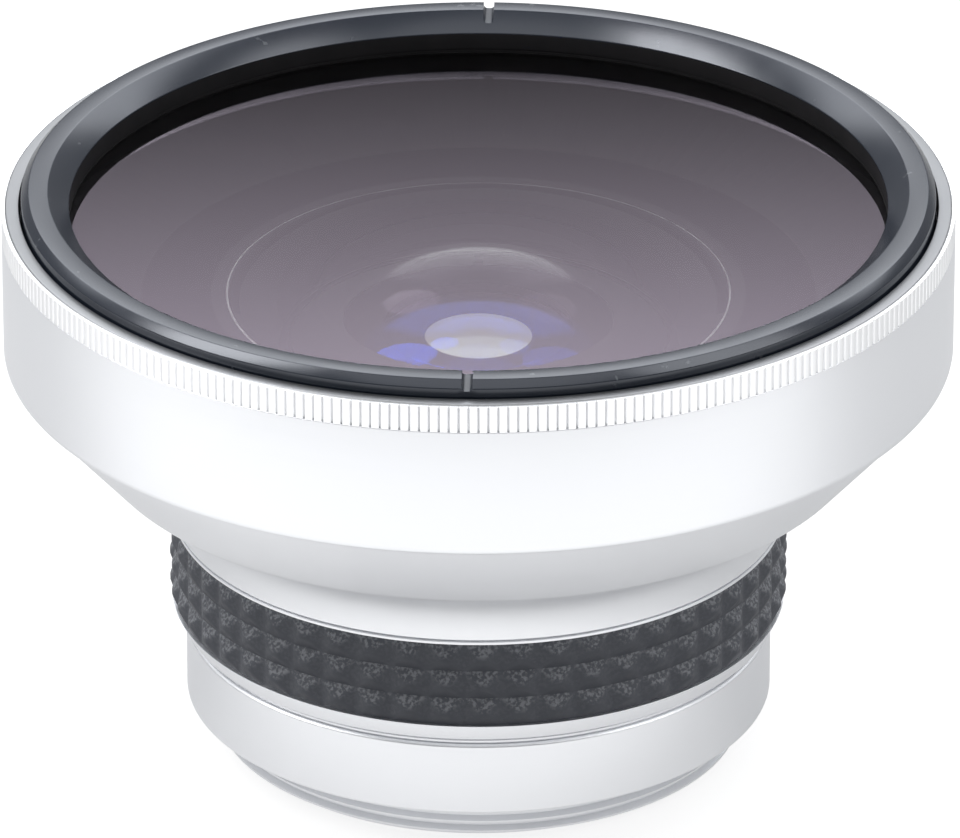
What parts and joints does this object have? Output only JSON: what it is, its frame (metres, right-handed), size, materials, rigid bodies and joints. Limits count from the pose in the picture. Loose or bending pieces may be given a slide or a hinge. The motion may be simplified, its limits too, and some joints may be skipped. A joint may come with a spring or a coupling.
{
  "type": "fisheye conversion lens",
  "caption": "Screw-on fisheye conversion lens: wide knurled drum with a large front glass, coned body, rubber grip band and a male filter thread behind.",
  "frame": {"origin": "centre of the end face of the rear male thread, on which the lens stands", "axes": "+Z along the optical axis towards the subject; the spanner notches lie near the Y axis"},
  "size_m": [0.0664, 0.0664, 0.0418],
  "materials": {
    "satin_aluminium": "satin",
    "black_anodised": "satin",
    "coated_glass": "gloss",
    "rubber": "matte",
    "soft_gasket": "matte"
  },
  "bodies": {
    "mount_section": {"mount_ring": "satin_aluminium"},
    "mount_shim": {"mount_washer": "satin_aluminium"},
    "rear_section": {"rear_barrel": "satin_aluminium", "rubber_grip": "rubber", "rear_spacer": "black_anodised", "rear_crown": "coated_glass", "rear_flint": "coated_glass", "rear_baffle": "black_anodised", "rear_retaining_ring": "black_anodised"},
    "section_shim": {"section_washer": "satin_aluminium"},
    "front_section": {"front_barrel": "satin_aluminium", "front_gasket": "soft_gasket", "front_element": "coated_glass", "inner_cell": "black_anodised", "aperture_stop": "black_anodised", "second_element": "coated_glass", "second_washer": "soft_gasket", "second_retaining_ring": "black_anodised"},
    "ring_shim": {"ring_gasket": "soft_gasket"},
    "front_ring": {"front_retaining_ring": "black_anodised"}
  },
  "joints": [
    {"name": "mount_screw_lift", "type": "slide", "parent": "mount_section", "child": "mount_shim", "axis": [0, 0, 1], "range_m": [0, 0.003]},
    {"name": "mount_screw_turn", "type": "hinge", "parent": "mount_shim", "child": "rear_section", "pos_m": [0, 0, 0.00855], "axis": [0, 0, 1], "range_deg": [0, 1440]},
    {"name": "section_screw_lift", "type": "slide", "parent": "rear_section", "child": "section_shim", "axis": [0, 0, 1], "range_m": [0, 0.003]},
    {"name": "section_screw_turn", "type": "hinge", "parent": "section_shim", "child": "front_section", "pos_m": [0, 0, 0.017], "axis": [0, 0, 1], "range_deg": [0, 1440]},
    {"name": "front_ring_screw_lift", "type": "slide", "parent": "front_section", "child": "ring_shim", "axis": [0, 0, 1], "range_m": [0, 0.00112]},
    {"name": "front_ring_screw_turn", "type": "hinge", "parent": "ring_shim", "child": "front_ring", "pos_m": [0, 0, 0.0391], "axis": [0, 0, 1], "range_deg": [0, 540]}
  ],
  "couplings": [
    {"joint": "mount_screw_lift", "follows": "mount_screw_turn", "m_per_rad": 0.00011937},
    {"joint": "section_screw_lift", "follows": "section_screw_turn", "m_per_rad": 0.00011937},
    {"joint": "front_ring_screw_lift", "follows": "front_ring_screw_turn", "m_per_rad": 0.00011937}
  ]
}
